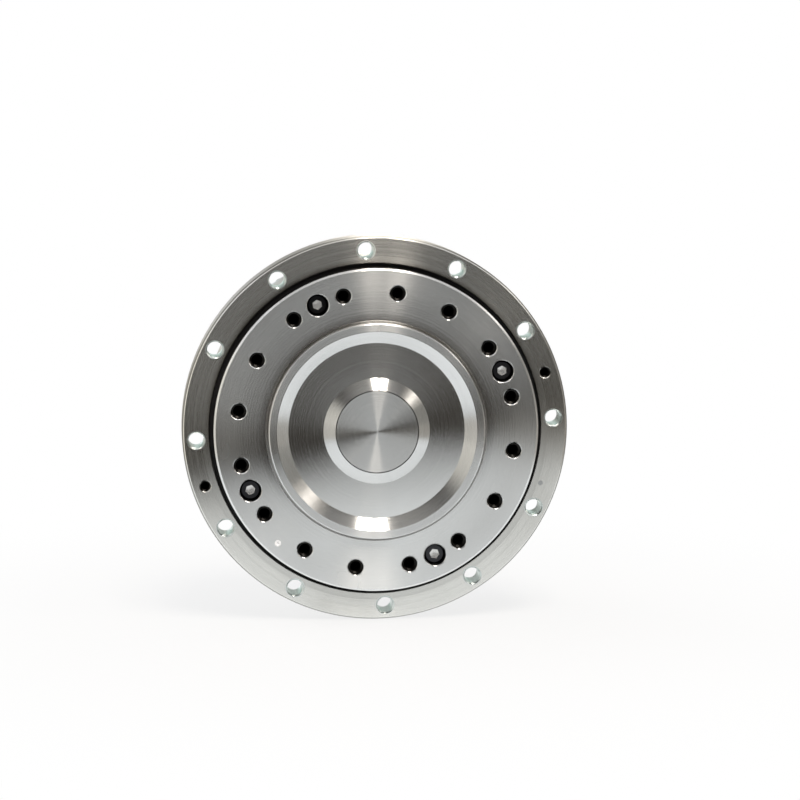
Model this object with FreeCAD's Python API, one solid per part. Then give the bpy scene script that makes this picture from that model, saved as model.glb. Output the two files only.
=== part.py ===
import FreeCAD
import Part
import math
import os

# Strain wave gear unit with a solid output face and a keyed input shaft, in millimetres.
# Everything turns about Y. The output face looks along -Y, the input shaft along +Y, +Z is up,
# and the origin is the centre of the outer ring's front face.
# Angles of hole patterns are degrees clockwise from +Z, as seen from the front.

# Gearing
tooth_module = 0.62
flexspline_teeth = 100
spline_teeth = 102
flank_angle = 20.0
tooth_addendum = 0.34
tooth_dedendum = 0.46
tooth_side_play = 0.037
tooth_width = 8.6
tooth_end_gap = 0.5

# Output side: ring, hub and circular spline
spline_wall = 5.42
output_thread = 4.0
output_hole_count = 16
output_hole_first = 8.8
output_hole_depth = 9.0
output_hole_mouth = 0.45
drill_point_slope = 0.6
output_screw_first = 65.1
output_screw_count = 4
output_proud = 4.1
rim_step = 2.457
rim_gap = 1.05
rim_seal_gap = 0.6
hub_bore_wall = 6.3
hub_fit = 0.02
register_step = 0.5
register_relief = 0.4
boss_height = 2.0
boss_land = 2.3
dish_depth = 2.4
dish_slope_width = 3.35
centre_bevel_width = 3.25
centre_radius = 11.85
centre_drop = 0.2
cap_thickness = 3.0
cap_fit = 0.02
hub_web = 5.9
hub_wall = 3.9
hub_flange = 2.5
spline_rim_step = 1.72
spline_room = 0.8
spline_end_land = 0.45
dimple_radius = 0.7
dimple_angle = 221.6
dimple_edge = 3.7

# Crossed roller bearing
race_wall = 0.5
roller_diameter = 3.0
roller_end_play = 0.12
roller_gap = 0.2
race_play = 0.03
ring_gap = 0.8
race_front_land = 0.9
race_back_land = 1.6
plug_margin = 0.15
plug_angle = 108.8
plug_pin_radius = 0.7
plug_pin_depth = 7.5
plug_pin_inset = 4.95

# Outer ring and its bolts
seal_pocket_depth = 3.0
bolt_wall = 1.522
bolt_hole = 4.5
bolt_count = 12
bolt_first = -3.0
bolt_rim = 4.0
flange_thickness = 8.8
barrel_clearance = 0.35
accessory_thread = 3.0
accessory_depth = 6.0
accessory_angles = (72.0, 252.0)
edge_chamfer = 0.6
fine_chamfer = 0.3

# Flexspline
flexspline_rim = 0.95
tube_wall = 0.6
tube_length = 6.0
diaphragm_wall = 0.9
diaphragm_relief = 0.4
brim_thickness = 4.0

# Socket head cap screws: M3 clamp the output side, M2 the cover
screw_diameter = 3.0
screw_head = 5.5
screw_head_height = 3.0
screw_socket = 2.5
screw_socket_depth = 1.6
screw_clearance = 0.1
screw_thread_play = 0.03
counterbore_play = 0.3
output_counterbore_depth = 5.0
screw_thread_length = 7.0
cover_screw_diameter = 2.0
cover_screw_head = 3.8
cover_screw_head_height = 2.0
cover_screw_socket = 1.5
cover_screw_socket_depth = 1.0
cover_screw_thread_length = 4.0
cover_screw_inset = 1.95
cover_screw_first = 12.0
cover_screw_count = 8

# Rear housing
cover_relief = 0.6
cover_flange = 5.5
pilot_length = 8.0
pilot_step = 6.3
cover_wall = 4.0
cover_back_wall = 4.0
cover_boss_wall = 3.5
bearing_lip = 1.2
bearing_lip_height = 2.0
motor_thread = 4.0
motor_depth = 8.0
motor_count = 4
motor_first = 45.0
motor_thread_wall = 1.6
motor_pilot_inset = 11.5

# O-rings
o_ring_section = 1.0
o_ring_side_room = 0.1
o_ring_land = 0.35

# Wave generator
wave_fit = 0.03
wave_race_wall = 1.6
wave_race_depth = 1.0
wave_ball = 5.0
wave_ball_count = 23
wave_ball_play = 0.1
wave_race_width = 7.6
wave_cage_wall = 1.2
wave_cage_width = 6.6
cam_width = 8.0
cam_key_width = 4.0
cam_key_height = 3.6
cam_key_sink = 2.2
cam_key_end = 0.8
cam_key_top_play = 0.1
snap_ring_thickness = 1.0
snap_ring_height = 2.4
snap_ring_sink = 0.4
snap_ring_play = 0.05
snap_ring_opening = 40.0

# Shaft and its bearings
front_bore = 12.0
front_outside = 21.0
front_width = 5.0
front_ball = 2.4
front_ball_count = 12
rear_bore = 15.0
rear_outside = 28.0
rear_width = 7.0
rear_ball = 4.0
rear_ball_count = 10
ball_play = 0.03
cage_wall = 0.9
cage_side_wall = 0.6
cage_play = 0.06
shaft_nose = 1.5
collar_length = 1.0
seat_diameter = 16.0
cam_shoulder = 24.0
cam_shoulder_width = 2.5
shaft_neck = 18.4
shaft_diameter = 14.0
shaft_length = 24.0
shaft_step_gap = 1.0
shaft_chamfer = 0.8
end_thread = 4.2
end_thread_depth = 10.0
key_width = 5.0
key_height = 5.0
key_sink = 3.0
key_length = 18.0
key_inset = 3.0

# Input seal
seal_width = 4.5
seal_lip_play = 0.04
seal_case = 1.2
spring_section = 0.7

# Gear radii
deflection = tooth_module * (spline_teeth - flexspline_teeth) / 2
flexspline_pitch = tooth_module * flexspline_teeth / 2
spline_pitch = tooth_module * spline_teeth / 2
flexspline_root = flexspline_pitch - tooth_dedendum
flexspline_bore = flexspline_root - flexspline_rim
tube_radius = flexspline_bore + tube_wall
spline_root = spline_pitch + tooth_dedendum

# Radii from the teeth outwards
output_bolt_radius = spline_root + spline_wall + output_thread / 2
roller_reach = roller_diameter / math.sqrt(2)
race_reach = roller_reach + race_play * math.sqrt(2)
roller_circle = output_bolt_radius + output_thread / 2 + race_wall + roller_reach
neck_radius = roller_circle - ring_gap / 2
ring_bore = roller_circle + ring_gap / 2
rim_radius = neck_radius + rim_step
pocket_radius = rim_radius + rim_gap
bolt_radius = pocket_radius + bolt_wall + bolt_hole / 2
flange_radius = bolt_radius + bolt_rim
barrel_radius = bolt_radius - bolt_hole / 2 - barrel_clearance
cover_radius = barrel_radius - cover_relief
cover_screw_radius = cover_radius - cover_screw_inset
hub_radius = output_bolt_radius - output_thread / 2 - hub_bore_wall
register_radius = hub_radius - register_step
dish_radius = register_radius - boss_land
floor_radius = dish_radius - dish_slope_width
spline_radius = neck_radius - spline_rim_step
barrel_bore = spline_radius + spline_room
pilot_radius = cover_radius - pilot_step
motor_bolt_radius = pilot_radius - motor_pilot_inset
counterbore_radius = screw_head / 2 + counterbore_play
screw_hole = screw_diameter / 2 + screw_clearance
screw_thread_hole = screw_diameter / 2 + screw_thread_play
cover_screw_hole = cover_screw_diameter / 2 + screw_clearance
cover_screw_thread_hole = cover_screw_diameter / 2 + screw_thread_play
o_ring_circle = barrel_bore + o_ring_land + o_ring_side_room + o_ring_section / 2

# Stations along Y, from the output face to the shaft end
output_face = -output_proud
boss_face = output_face - boss_height
dish_floor = boss_face + dish_depth
centre_face = boss_face + centre_drop
web_back = dish_floor + hub_web
seal_front = seal_pocket_depth / 3
rim_back = seal_front - rim_seal_gap
race_y = seal_pocket_depth + race_front_land + race_reach - ring_gap / 2
ring_back = race_y + race_reach - ring_gap / 2 + race_back_land
hub_back = ring_back + hub_flange
teeth_front = hub_back + tooth_end_gap
teeth_back = teeth_front + tooth_width
spline_back = teeth_back + spline_end_land
wave_y = (teeth_front + teeth_back) / 2
diaphragm_front = teeth_back + tube_length
diaphragm_back = diaphragm_front + diaphragm_wall
brim_back = diaphragm_back + diaphragm_relief
brim_front = brim_back - brim_thickness
cover_flange_back = brim_back + cover_flange
cover_back = cover_flange_back + pilot_length
front_bearing_back = web_back + front_width
cam_front = wave_y - cam_width / 2
cam_back = wave_y + cam_width / 2
cam_shoulder_back = cam_back + cam_shoulder_width
seal_y = cover_back - seal_width
snap_y = seal_y - snap_ring_play - snap_ring_thickness
rear_bearing_back = snap_y - snap_ring_play
rear_bearing_front = rear_bearing_back - rear_width
shaft_step = cover_back + shaft_step_gap
shaft_end = shaft_step + shaft_length

# Wave bearing radii on the round form, before the oval is given
wave_outside = flexspline_bore - wave_fit
wave_ball_circle = wave_outside - wave_race_wall - wave_ball_play - wave_ball / 2
wave_outer_shoulder = wave_ball_circle + wave_ball / 2 - wave_race_depth
wave_inner_shoulder = wave_ball_circle - wave_ball / 2 + wave_race_depth
cam_radius = wave_ball_circle - wave_ball / 2 - wave_ball_play - wave_race_wall

axis = FreeCAD.Vector(0, 1, 0)
origin = FreeCAD.Vector(0, 0, 0)


def spot(radius, degrees, y=0.0):
    turn = math.radians(degrees)
    return FreeCAD.Vector(radius * math.sin(turn), y, radius * math.cos(turn))


def spread(count, first=0.0):
    return [first + 360.0 * k / count for k in range(count)]


def revolved(points):
    corners = [FreeCAD.Vector(r, y, 0) for r, y in points]
    face = Part.Face(Part.makePolygon(corners + corners[:1]))
    return face.revolve(origin, axis, 360)


def tube(inside, outside, front, back):
    return revolved([(inside, front), (outside, front), (outside, back), (inside, back)])


def rod(radius, front, back, at=origin):
    return Part.makeCylinder(radius, back - front, FreeCAD.Vector(at.x, front, at.z), axis)


def holes(radius, front, back, circle, angles):
    return [rod(radius, front, back, spot(circle, a)) for a in angles]


def blind_holes(radius, face, depth, circle, angles, way=1):
    # drilled along +Y, or along -Y where way is -1, with the drill's point at the bottom
    end = face + way * depth
    bottoms = [Part.makeCone(radius, 0, radius * drill_point_slope, spot(circle, a, end), axis * way)
               for a in angles]
    return holes(radius, min(face, end), max(face, end), circle, angles) + bottoms


def mouths(radius, bevel, face, circle, angles):
    # 45 degree lead-ins cut from a face that looks along -Y
    return [Part.makeCone(radius + bevel, radius, bevel, spot(circle, a, face), axis) for a in angles]


def oval(radius, y):
    # the wave generator's ellipse round a circle of this radius, long along X
    ellipse = Part.Ellipse(origin, radius + deflection, radius - deflection).toShape()
    wire = Part.Wire([ellipse])
    wire.rotate(origin, FreeCAD.Vector(1, 0, 0), 90)
    wire.translate(FreeCAD.Vector(0, y, 0))
    return wire


def circle(radius, y):
    wire = Part.Wire([Part.Circle(origin, FreeCAD.Vector(0, 0, 1), radius).toShape()])
    wire.rotate(origin, FreeCAD.Vector(1, 0, 0), 90)
    wire.translate(FreeCAD.Vector(0, y, 0))
    return wire


def oval_rod(radius, front, back):
    return Part.Face(oval(radius, front)).extrude(axis * (back - front))


def oval_tube(inside, outside, front, back):
    return oval_rod(outside, front, back).cut(oval_rod(inside, front, back))


def oval_torus(circle_radius, section):
    torus = Part.makeTorus(circle_radius, section, FreeCAD.Vector(0, wave_y, 0), axis)
    stretch = FreeCAD.Matrix()
    stretch.A11 = (circle_radius + deflection) / circle_radius
    stretch.A33 = (circle_radius - deflection) / circle_radius
    return torus.transformGeometry(stretch)


def slot(width, front, back, low, high):
    # a round-ended block along Y, for keys and their seats
    half = width / 2
    body = Part.makeBox(width, back - front - width, high - low,
                        FreeCAD.Vector(-half, front + half, low))
    up = FreeCAD.Vector(0, 0, 1)
    for y in (front + half, back - half):
        body = body.fuse(Part.makeCylinder(half, high - low, FreeCAD.Vector(0, y, low), up))
    return body.removeSplitter()


def socket_screw(length, diameter, head_diameter, head_height, socket, socket_depth):
    # head towards -Y, seated at y = 0
    radius = diameter / 2
    head = head_diameter / 2
    top = -head_height
    body = revolved([(0, top), (head - fine_chamfer, top), (head, top + fine_chamfer), (head, 0),
                     (radius, 0), (radius, length - fine_chamfer), (radius - fine_chamfer, length),
                     (0, length)])
    corner_radius = socket / math.sqrt(3)
    corners = [spot(corner_radius, a, top) for a in spread(6) + [0.0]]
    hexagon = Part.Face(Part.makePolygon(corners))
    return body.cut(hexagon.extrude(axis * socket_depth))


def snap_ring(inside, outside, front, opening_side):
    ring = tube(inside, outside, front, front + snap_ring_thickness)
    half = outside * math.tan(math.radians(snap_ring_opening / 2))
    low = 0 if opening_side > 0 else -2 * outside
    gap = Part.makeBox(2 * half, snap_ring_thickness, 2 * outside, FreeCAD.Vector(-half, front, low))
    return ring.cut(gap)


def o_ring(y):
    return Part.makeTorus(o_ring_circle, o_ring_section / 2, FreeCAD.Vector(0, y, 0), axis)


def o_ring_groove(front, back):
    half = o_ring_section / 2 + o_ring_side_room
    return tube(o_ring_circle - half, o_ring_circle + half, front, back)


def pocket(centre, ball):
    # a round window for one ball, drilled from the axis outwards
    outward = FreeCAD.Vector(centre.x, 0, centre.z)
    outward.normalize()
    return Part.makeCylinder(ball / 2 + cage_play, 2 * ball, centre - outward * ball, outward)


def ball_bearing(bore, outside, width, ball, count, front):
    # one deep groove bearing: inner race, outer race, balls and the ring that spaces them
    middle = front + width / 2
    pitch = (bore + outside) / 4
    shoulder = ball / 4
    groove = Part.makeTorus(pitch, ball / 2 + ball_play, FreeCAD.Vector(0, middle, 0), axis)
    inner = tube(bore / 2, pitch - shoulder, front, front + width).cut(groove)
    outer = tube(pitch + shoulder, outside / 2, front, front + width).cut(groove)
    centres = [spot(pitch, a, middle) for a in spread(count)]
    balls = Part.makeCompound([Part.makeSphere(ball / 2, c) for c in centres])
    half = ball / 2 + cage_side_wall
    cage = tube(pitch - cage_wall / 2, pitch + cage_wall / 2, middle - half, middle + half)
    return inner, outer, balls, cage.cut([pocket(c, ball) for c in centres])


def outline(teeth, place, corners, y):
    # a closed toothed outline: place(k) gives each tooth's centre and the way it points
    points = []
    for k in range(teeth):
        x, z, lean = place(k)
        for out, side in corners:
            points.append(FreeCAD.Vector(x + out * math.cos(lean) - side * math.sin(lean), y,
                                         z + out * math.sin(lean) + side * math.cos(lean)))
    return Part.Face(Part.makePolygon(points + points[:1]))


def flexspline_tooth(k):
    # the tooth's place on the ring once the wave generator has bent it oval
    turn = 2 * math.pi * k / flexspline_teeth
    bend = deflection / flexspline_pitch * math.sin(2 * turn)
    radius = flexspline_pitch + deflection * math.cos(2 * turn)
    angle = turn - bend / 2
    return radius * math.cos(angle), radius * math.sin(angle), turn + 1.5 * bend


def spline_space(k):
    turn = 2 * math.pi * k / spline_teeth
    return spline_pitch * math.cos(turn), spline_pitch * math.sin(turn), turn


slope = math.tan(math.radians(flank_angle))
half_tooth = math.pi * tooth_module / 4
bolt_angles = spread(bolt_count, bolt_first)
output_hole_angles = spread(output_hole_count, output_hole_first)
output_screw_angles = spread(output_screw_count, output_screw_first)
cover_screw_angles = spread(cover_screw_count, cover_screw_first)
output_screw_seat = output_face + output_counterbore_depth


def make_outer_ring_and_plug():
    deep = roller_circle + race_reach
    half = deep - ring_bore
    barrel_step = ring_back + spline_room
    body = revolved([
        (pocket_radius + fine_chamfer, 0), (flange_radius - edge_chamfer, 0),
        (flange_radius, edge_chamfer), (flange_radius, flange_thickness - edge_chamfer),
        (flange_radius - edge_chamfer, flange_thickness), (barrel_radius, flange_thickness),
        (barrel_radius, brim_front - fine_chamfer), (barrel_radius - fine_chamfer, brim_front),
        (barrel_bore, brim_front), (barrel_bore, barrel_step), (ring_bore, barrel_step),
        (ring_bore, race_y + half), (deep, race_y), (ring_bore, race_y - half),
        (ring_bore, seal_pocket_depth), (pocket_radius, seal_pocket_depth),
        (pocket_radius, fine_chamfer)])
    radius = roller_reach + plug_margin
    outward = spot(1, plug_angle)
    start = spot(neck_radius, plug_angle, race_y)
    bore = Part.makeCylinder(radius, 2 * (flange_radius - neck_radius), start, outward)
    pin = rod(plug_pin_radius, 0, plug_pin_depth, spot(flange_radius - plug_pin_inset, plug_angle))
    cuts = holes(bolt_hole / 2, 0, flange_thickness, bolt_radius, bolt_angles)
    cuts += mouths(bolt_hole / 2, fine_chamfer, 0, bolt_radius, bolt_angles)
    cuts += blind_holes(accessory_thread / 2, 0, accessory_depth, bolt_radius, accessory_angles)
    cuts += mouths(accessory_thread / 2, fine_chamfer, 0, bolt_radius, accessory_angles)
    cuts += holes(cover_screw_thread_hole, brim_front - cover_screw_thread_length - fine_chamfer,
                  brim_front, cover_screw_radius, cover_screw_angles)
    cuts.append(o_ring_groove(brim_front - o_ring_section, brim_front))
    plug = body.common(bore).cut(pin)
    return body.cut(cuts + [bore, pin]), plug, pin


def make_output_ring():
    deep = roller_circle - race_reach
    half = neck_radius - deep
    bore = hub_radius + hub_fit
    body = revolved([
        (bore + fine_chamfer, output_face), (rim_radius - edge_chamfer, output_face),
        (rim_radius, output_face + edge_chamfer), (rim_radius, rim_back), (neck_radius, rim_back),
        (neck_radius, race_y - half), (deep, race_y), (neck_radius, race_y + half),
        (neck_radius, ring_back), (bore, ring_back), (bore, output_face + fine_chamfer)])
    thread = output_thread / 2
    cuts = blind_holes(thread, output_face, output_hole_depth, output_bolt_radius, output_hole_angles)
    cuts += mouths(thread, output_hole_mouth, output_face, output_bolt_radius, output_hole_angles)
    cuts += holes(counterbore_radius, output_face, output_screw_seat, output_bolt_radius,
                  output_screw_angles)
    cuts += mouths(counterbore_radius, fine_chamfer, output_face, output_bolt_radius,
                   output_screw_angles)
    cuts += holes(screw_hole, output_screw_seat, ring_back, output_bolt_radius, output_screw_angles)
    dimple = spot(rim_radius - dimple_edge, dimple_angle, output_face)
    cuts.append(Part.makeCone(dimple_radius, 0, dimple_radius, dimple, axis))
    return body.cut(cuts)


def make_output_hub():
    bevel_radius = centre_radius + centre_bevel_width
    cap_bore = centre_radius + cap_fit
    cap_seat = centre_face + cap_thickness
    pocket = front_outside / 2
    bearing_boss = pocket + hub_wall
    throat = (front_bore + front_outside) / 4 + front_ball / 4
    cavity = hub_radius - hub_wall
    foot = output_face + register_relief
    body = revolved([
        (cap_bore, cap_seat), (cap_bore, centre_face + cap_fit), (bevel_radius, dish_floor),
        (floor_radius, dish_floor), (dish_radius, boss_face), (register_radius - fine_chamfer, boss_face),
        (register_radius, boss_face + fine_chamfer), (register_radius, foot), (hub_radius, foot),
        (hub_radius, ring_back), (spline_radius, ring_back), (spline_radius, hub_back),
        (cavity, hub_back), (cavity, web_back), (bearing_boss, web_back),
        (bearing_boss, front_bearing_back), (pocket, front_bearing_back), (pocket, web_back),
        (throat, web_back), (throat, cap_seat)])
    return body.cut(holes(screw_hole, ring_back, hub_back, output_bolt_radius, output_screw_angles))


def make_centre_cap():
    back = centre_face + cap_thickness
    return revolved([(0, centre_face), (centre_radius - fine_chamfer, centre_face),
                     (centre_radius, centre_face + fine_chamfer), (centre_radius, back), (0, back)])


def make_circular_spline():
    half = half_tooth + tooth_side_play
    mouth = half + tooth_addendum * slope
    floor = half - tooth_dedendum * slope
    corners = [(-tooth_addendum, -mouth), (tooth_dedendum, -floor), (tooth_dedendum, floor),
               (-tooth_addendum, mouth)]
    inside = outline(spline_teeth, spline_space, corners, hub_back)
    body = rod(spline_radius, hub_back, spline_back)
    cuts = holes(screw_thread_hole, hub_back, spline_back, output_bolt_radius, output_screw_angles)
    return body.cut(cuts + [inside.extrude(axis * (spline_back - hub_back))])


def make_flexspline():
    half = half_tooth - tooth_side_play
    tip = half - tooth_addendum * slope
    root = half + tooth_dedendum * slope
    corners = [(-tooth_dedendum, -root), (tooth_addendum, -tip), (tooth_addendum, tip),
               (-tooth_dedendum, root)]
    teeth = outline(flexspline_teeth, flexspline_tooth, corners, teeth_front).extrude(axis * tooth_width)
    teeth = teeth.cut(oval_rod(flexspline_bore, teeth_front, teeth_back))
    outside = Part.makeLoft([oval(tube_radius, teeth_back), circle(tube_radius, diaphragm_front)], True)
    inside = Part.makeLoft([oval(flexspline_bore, teeth_back),
                            circle(flexspline_bore, diaphragm_front)], True)
    brim = revolved([
        (flexspline_bore, diaphragm_front), (barrel_bore - diaphragm_wall, diaphragm_front),
        (barrel_bore, diaphragm_front - diaphragm_wall), (barrel_bore, brim_front),
        (cover_radius, brim_front), (cover_radius, brim_back), (barrel_bore, brim_back),
        (barrel_bore - diaphragm_relief, diaphragm_back), (flexspline_bore, diaphragm_back)])
    cuts = holes(cover_screw_hole, brim_front, brim_back, cover_screw_radius, cover_screw_angles)
    return teeth.fuse([outside.cut(inside), brim.cut(cuts)])


def make_rear_housing():
    bore = rear_outside / 2
    boss = bore + cover_boss_wall
    lip = bore - bearing_lip_height
    cavity = pilot_radius - cover_wall
    cavity_back = cover_back - cover_back_wall
    body = revolved([
        (cavity, brim_back), (cover_radius, brim_back), (cover_radius, cover_flange_back - fine_chamfer),
        (cover_radius - fine_chamfer, cover_flange_back), (pilot_radius, cover_flange_back),
        (pilot_radius, cover_back - edge_chamfer), (pilot_radius - edge_chamfer, cover_back),
        (bore + fine_chamfer, cover_back), (bore, cover_back - fine_chamfer),
        (bore, snap_y + snap_ring_thickness + snap_ring_play), (bore + snap_ring_sink,
         snap_y + snap_ring_thickness + snap_ring_play), (bore + snap_ring_sink, rear_bearing_back),
        (bore, rear_bearing_back), (bore, rear_bearing_front), (lip, rear_bearing_front),
        (lip, rear_bearing_front - bearing_lip), (boss, rear_bearing_front - bearing_lip),
        (boss, cavity_back), (cavity, cavity_back)])
    thread = motor_thread / 2
    deepest = motor_depth + thread * drill_point_slope + motor_thread_wall
    motor_angles = spread(motor_count, motor_first)
    body = body.fuse(holes(thread + motor_thread_wall, cover_back - deepest, cover_back - cover_back_wall / 2,
                           motor_bolt_radius, motor_angles)).removeSplitter()
    cuts = holes(cover_screw_hole, brim_back, cover_flange_back, cover_screw_radius, cover_screw_angles)
    cuts += blind_holes(thread, cover_back, motor_depth, motor_bolt_radius, motor_angles, way=-1)
    cuts += [Part.makeCone(thread, thread + fine_chamfer, fine_chamfer,
                           spot(motor_bolt_radius, angle, cover_back - fine_chamfer), axis)
             for angle in motor_angles]
    cuts.append(o_ring_groove(brim_back, brim_back + o_ring_section))
    return body.cut(cuts)


def make_output_seal():
    # a rubber ring with one lip that leans on the output ring's neck
    lip = neck_radius + race_play
    heel = pocket_radius - 2 * rim_gap / 3
    waist = (lip + heel) / 2
    back = seal_pocket_depth
    depth = back - seal_front
    return revolved([
        (pocket_radius, seal_front), (pocket_radius, back), (heel, back), (waist, seal_front + depth / 2),
        (lip + rim_gap / 3, back - depth / 6), (lip, back - depth / 3), (waist, seal_front)])


def make_input_seal():
    outside = rear_outside / 2
    lip = rear_bore / 2 + seal_lip_play
    case = outside - seal_case
    web = cover_back - seal_case
    back_of_lip = lip + seal_case + spring_section / 2
    body = revolved([
        (outside, seal_y), (outside, cover_back), (lip + seal_case / 2, cover_back),
        (lip, cover_back - seal_case / 2), (lip + seal_case / 2, web),
        (lip, seal_y + 1.5 * spring_section + seal_case / 2), (lip + seal_case / 2, seal_y + spring_section),
        (back_of_lip, seal_y + spring_section), (back_of_lip, web), (case, web), (case, seal_y)])
    spring = Part.makeTorus(back_of_lip + spring_section / 2, spring_section / 2,
                            FreeCAD.Vector(0, seal_y + 2 * spring_section, 0), axis)
    return body, spring


def make_rollers():
    count = 2 * int(math.pi * roller_circle / (roller_diameter + roller_gap))
    length = roller_diameter - roller_end_play
    rollers = []
    for k, angle in enumerate(spread(count)):
        lean = spot(1, angle) + axis * (1 if k % 2 else -1)
        lean.normalize()
        foot = spot(roller_circle, angle, race_y) - lean * (length / 2)
        rollers.append(Part.makeCylinder(roller_diameter / 2, length, foot, lean))
    return Part.makeCompound(rollers)


def make_wave_bearing():
    front = wave_y - wave_race_width / 2
    back = wave_y + wave_race_width / 2
    groove = oval_torus(wave_ball_circle, wave_ball / 2 + wave_ball_play)
    outer = oval_tube(wave_outer_shoulder, wave_outside, front, back).cut(groove)
    inner = oval_tube(cam_radius, wave_inner_shoulder, front, back).cut(groove)
    centres = []
    for angle in spread(wave_ball_count):
        turn = math.radians(angle)
        centres.append(FreeCAD.Vector((wave_ball_circle + deflection) * math.cos(turn), wave_y,
                                      (wave_ball_circle - deflection) * math.sin(turn)))
    balls = Part.makeCompound([Part.makeSphere(wave_ball / 2, c) for c in centres])
    cage = oval_tube(wave_ball_circle - wave_cage_wall / 2, wave_ball_circle + wave_cage_wall / 2,
                     wave_y - wave_cage_width / 2, wave_y + wave_cage_width / 2)
    return outer, inner, balls, cage.cut([pocket(c, wave_ball) for c in centres])


def make_shaft_and_keys():
    front_journal = front_bore / 2
    collar = (front_bore + front_outside) / 4 - front_ball / 4
    seat = seat_diameter / 2
    shoulder = cam_shoulder / 2
    neck = shaft_neck / 2
    rear_journal = rear_bore / 2
    end = shaft_diameter / 2
    nose = web_back - shaft_nose
    groove_front = cam_front - snap_ring_play - snap_ring_thickness
    rear_groove_back = snap_y + snap_ring_thickness + snap_ring_play
    body = revolved([
        (0, nose), (front_journal - fine_chamfer, nose), (front_journal, nose + fine_chamfer),
        (front_journal, front_bearing_back),
        (collar, front_bearing_back), (collar, front_bearing_back + collar_length),
        (seat, front_bearing_back + collar_length), (seat, groove_front),
        (seat - snap_ring_sink, groove_front), (seat - snap_ring_sink, cam_front), (seat, cam_front),
        (seat, cam_back), (shoulder, cam_back), (shoulder, cam_shoulder_back), (neck, cam_shoulder_back),
        (neck, rear_bearing_front), (rear_journal, rear_bearing_front), (rear_journal, rear_bearing_back),
        (rear_journal - snap_ring_sink, rear_bearing_back), (rear_journal - snap_ring_sink,
         rear_groove_back), (rear_journal, rear_groove_back), (rear_journal, shaft_step),
        (end, shaft_step), (end, shaft_end - shaft_chamfer), (end - shaft_chamfer, shaft_end),
        (end_thread / 2, shaft_end), (end_thread / 2, shaft_end - end_thread_depth),
        (0, shaft_end - end_thread_depth - end_thread / 2)])
    key_back = shaft_end - key_inset
    key_low = end - key_sink
    key = slot(key_width, key_back - key_length, key_back, key_low, key_low + key_height)
    cam_key_low = seat - cam_key_sink
    cam_key = slot(cam_key_width, cam_front + cam_key_end, cam_back - cam_key_end, cam_key_low,
                   cam_key_low + cam_key_height)
    return body.cut([key, cam_key]), key, cam_key


def make_cam():
    half = cam_key_width / 2
    top = seat_diameter / 2 - cam_key_sink + cam_key_height
    keyway = Part.makeBox(2 * half, cam_width, top + cam_key_top_play, FreeCAD.Vector(-half, cam_front, 0))
    body = oval_rod(cam_radius, cam_front, cam_back)
    return body.cut([rod(seat_diameter / 2, cam_front, cam_back), keyway])


def make_screws():
    output_length = hub_back + screw_thread_length - output_screw_seat
    output_screws = []
    for angle in output_screw_angles:
        screw = socket_screw(output_length, screw_diameter, screw_head, screw_head_height, screw_socket,
                             screw_socket_depth)
        screw.translate(spot(output_bolt_radius, angle, output_screw_seat))
        output_screws.append(screw)
    cover_length = cover_flange_back - brim_front + cover_screw_thread_length
    cover_screws = []
    for angle in cover_screw_angles:
        screw = socket_screw(cover_length, cover_screw_diameter, cover_screw_head, cover_screw_head_height,
                             cover_screw_socket, cover_screw_socket_depth)
        screw.rotate(origin, FreeCAD.Vector(1, 0, 0), 180)
        screw.translate(spot(cover_screw_radius, angle, cover_flange_back))
        cover_screws.append(screw)
    return Part.makeCompound(output_screws), Part.makeCompound(cover_screws)


nodes = {}
nodes["bearing_outer_ring"], nodes["roller_plug"], nodes["plug_pin"] = make_outer_ring_and_plug()
nodes["output_ring"] = make_output_ring()
nodes["output_hub"] = make_output_hub()
nodes["centre_cap"] = make_centre_cap()
nodes["circular_spline"] = make_circular_spline()
nodes["flexspline"] = make_flexspline()
nodes["rear_housing"] = make_rear_housing()
nodes["output_screws"], nodes["cover_screws"] = make_screws()
nodes["output_seal"] = make_output_seal()
nodes["brim_o_ring_front"] = o_ring(brim_front - o_ring_section / 2)
nodes["brim_o_ring_rear"] = o_ring(brim_back + o_ring_section / 2)
nodes["input_seal"], nodes["input_seal_spring"] = make_input_seal()
nodes["cross_rollers"] = make_rollers()
(nodes["wave_outer_race"], nodes["wave_inner_race"], nodes["wave_balls"],
 nodes["wave_ball_cage"]) = make_wave_bearing()
nodes["input_shaft"], nodes["shaft_key"], nodes["cam_key"] = make_shaft_and_keys()
nodes["wave_cam"] = make_cam()
nodes["cam_snap_ring"] = snap_ring(seat_diameter / 2 - snap_ring_sink,
                                   seat_diameter / 2 - snap_ring_sink + snap_ring_height,
                                   cam_front - snap_ring_play - snap_ring_thickness, -1)
nodes["shaft_snap_ring"] = snap_ring(rear_bore / 2 - snap_ring_sink,
                                     rear_bore / 2 - snap_ring_sink + snap_ring_height, snap_y, -1)
nodes["housing_snap_ring"] = snap_ring(rear_outside / 2 + snap_ring_sink - snap_ring_height,
                                       rear_outside / 2 + snap_ring_sink, snap_y, -1)
(nodes["front_inner_race"], nodes["front_outer_race"], nodes["front_balls"],
 nodes["front_ball_cage"]) = ball_bearing(front_bore, front_outside, front_width, front_ball,
                                          front_ball_count, web_back)
(nodes["rear_inner_race"], nodes["rear_outer_race"], nodes["rear_balls"],
 nodes["rear_ball_cage"]) = ball_bearing(rear_bore, rear_outside, rear_width, rear_ball,
                                         rear_ball_count, rear_bearing_front)

os.makedirs("parts", exist_ok=True)
for name, shape in nodes.items():
    shape.exportStep("parts/" + name + ".step")
    print(name, len(shape.Solids), shape.isValid(), round(shape.Volume, 1))
print("flange radius", round(flange_radius, 3), "bolt circle", round(2 * bolt_radius, 3),
      "output bolt circle", round(2 * output_bolt_radius, 3), "rim", round(rim_radius, 3),
      "barrel", round(barrel_radius, 3), "cover", round(cover_radius, 3),
      "register", round(register_radius, 3), "shaft end", round(shaft_end, 3))
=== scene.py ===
import math

import bmesh
import bpy
from mathutils import Matrix, Vector


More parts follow.
